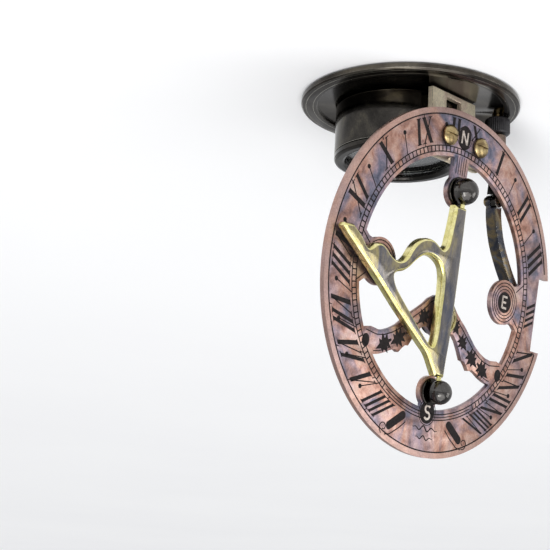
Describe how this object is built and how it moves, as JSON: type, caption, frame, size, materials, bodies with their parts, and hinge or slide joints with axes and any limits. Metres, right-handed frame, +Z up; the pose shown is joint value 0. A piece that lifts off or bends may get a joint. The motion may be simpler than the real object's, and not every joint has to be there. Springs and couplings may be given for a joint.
{
  "type": "folding sundial compass",
  "caption": "Pocket inclining sundial: an openwork hour ring hinged over a round compass base, with a folding gnomon and a curved latitude arc.",
  "frame": {"origin": "centre of the base plate's underside", "axes": "+Z up from the table through the compass; +X toward the east side of the hour ring (IX/III line); +Y from the compass toward the ring's hinge"},
  "size_m": [0.083, 0.055, 0.0902],
  "materials": {
    "gunmetal": "blackened and polished, worn to olive gold at the edges",
    "pale_brass": "satin, slightly pink",
    "yellow_brass": "turned and polished",
    "gnomon_brass": "polished, grey-blue tarnish in the flats",
    "ring_bronze": "copper-brown heat patina with lilac and blue-grey bloom",
    "arc_steel": "satin",
    "black": "black, semi-gloss",
    "needle_steel": "polished",
    "card": "printed paper",
    "glass": "clear"
  },
  "bodies": {
    "base": {"base_plate": "gunmetal", "compass_drum": "gunmetal", "bezel_ring": "gunmetal", "compass_glass": "glass", "compass_card": "card", "pivot_pin": "yellow_brass", "hinge_bracket": "pale_brass", "bracket_screw_west": "yellow_brass", "bracket_screw_east": "yellow_brass", "hinge_pin": "yellow_brass", "knob_stud": "yellow_brass", "stud_collar": "gunmetal"},
    "needle": {"compass_needle": "needle_steel", "needle_cap": "yellow_brass"},
    "knob": {"clamp_knob": "black"},
    "ring": {"hour_ring": "ring_bronze", "ring_screw_west": "yellow_brass", "ring_screw_east": "yellow_brass", "hinge_leaf": "pale_brass", "centre_boss": "gunmetal", "hub_boss": "yellow_brass", "post_north": "gunmetal", "post_south": "gunmetal", "collar_north": "gunmetal", "collar_south": "gunmetal", "arc_link": "gunmetal", "link_screw": "yellow_brass", "arc_pivot_screw": "yellow_brass"},
    "arc": {"latitude_arc": "arc_steel"},
    "gnomon": {"gnomon": "gnomon_brass"}
  },
  "joints": [
    {"name": "ring_hinge", "type": "hinge", "parent": "base", "child": "ring", "pos_m": [0, 0.01394, 0.01755], "axis": [1, 0, 0], "range_deg": [-8.3, 81.7]},
    {"name": "gnomon_fold", "type": "hinge", "parent": "ring", "child": "gnomon", "pos_m": [0, 0.01451, 0.04896], "axis": [0, 0.1444, -0.9895], "range_deg": [0, 90]},
    {"name": "arc_swing", "type": "hinge", "parent": "ring", "child": "arc", "pos_m": [0.0183, 0.01283, 0.02375], "axis": [0, 0.9895, 0.1444], "range_deg": [0, 60]},
    {"name": "knob_turn", "type": "hinge", "parent": "base", "child": "knob", "pos_m": [0.018, 0.014, 0.0043], "axis": [0, 0, 1], "range_deg": [-180, 180]},
    {"name": "needle_spin", "type": "hinge", "parent": "base", "child": "needle", "pos_m": [0, -0.0036, 0.0093], "axis": [0, 0, 1], "continuous": true}
  ]
}
